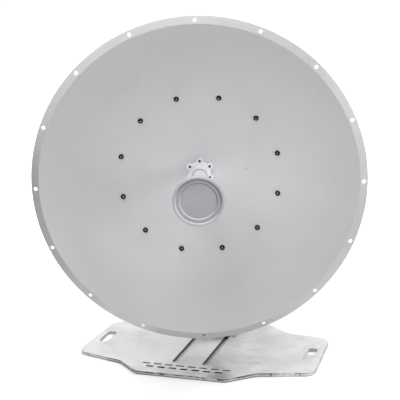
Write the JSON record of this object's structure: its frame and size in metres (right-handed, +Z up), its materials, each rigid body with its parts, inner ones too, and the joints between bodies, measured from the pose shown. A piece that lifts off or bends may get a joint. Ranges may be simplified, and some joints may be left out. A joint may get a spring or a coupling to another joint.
{
  "type": "microwave dish antenna on a floor stand",
  "caption": "Round parabolic microwave dish with a centre feed, on a tilt and swivel pole clamp and a flat cut-steel floor plate.",
  "frame": {"origin": "pole axis at the underside of the base plate", "axes": "+Z up along the pole, the dish faces -Y and +X is the viewer's right as seen from the front; the base plate is turned 21.55 degrees under the dish, as in the picture"},
  "size_m": [1.0496, 0.6597, 1.1885],
  "materials": {
    "plate_steel": "bare cut plate",
    "black_coat": "satin black powder coat",
    "galvanised": "galvanised",
    "reflector_coat": "matt light grey powder coat",
    "feed_plastic": "satin grey",
    "hub_plastic": "satin white",
    "dark_plastic": "satin black",
    "bolt_steel": "zinc plated",
    "cast_aluminium": "die cast",
    "connector_brass": "plated"
  },
  "bodies": {
    "stand": {"base_plate": "plate_steel", "gusset_left": "black_coat", "gusset_right": "black_coat", "pole_collar_lower": "black_coat", "pole_collar_upper": "black_coat", "pole": "galvanised", "pole_cap": "dark_plastic"},
    "azimuth_bracket": {"az_channel": "galvanised", "u_bolt_lower": "bolt_steel", "u_bolt_upper": "bolt_steel", "clamp_saddle_lower": "cast_aluminium", "clamp_saddle_upper": "cast_aluminium", "lock_bolt_left": "bolt_steel", "lock_bolt_right": "bolt_steel"},
    "dish": {"tilt_cheek_left": "galvanised", "tilt_cheek_right": "galvanised", "hub_plate": "galvanised", "arm_1": "galvanised", "arm_2": "galvanised", "arm_3": "galvanised", "arm_4": "galvanised", "arm_5": "galvanised", "arm_6": "galvanised", "back_ring": "galvanised", "reflector": "reflector_coat", "feed_flange": "hub_plastic", "feed_tube": "hub_plastic", "feed_cap": "feed_plastic", "feed_rear_housing": "dark_plastic", "rf_connector_1": "connector_brass", "rf_connector_2": "connector_brass", "pivot_bolt_left": "bolt_steel", "pivot_bolt_right": "bolt_steel"}
  },
  "joints": [
    {"name": "azimuth", "type": "hinge", "parent": "stand", "child": "azimuth_bracket", "pos_m": [0, 0, 0.604], "axis": [0, 0, 1], "range_deg": [-60, 60]},
    {"name": "elevation", "type": "hinge", "parent": "azimuth_bracket", "child": "dish", "pos_m": [0, -0.105, 0.604], "axis": [-1, 0, 0], "range_deg": [-20, 20]}
  ]
}
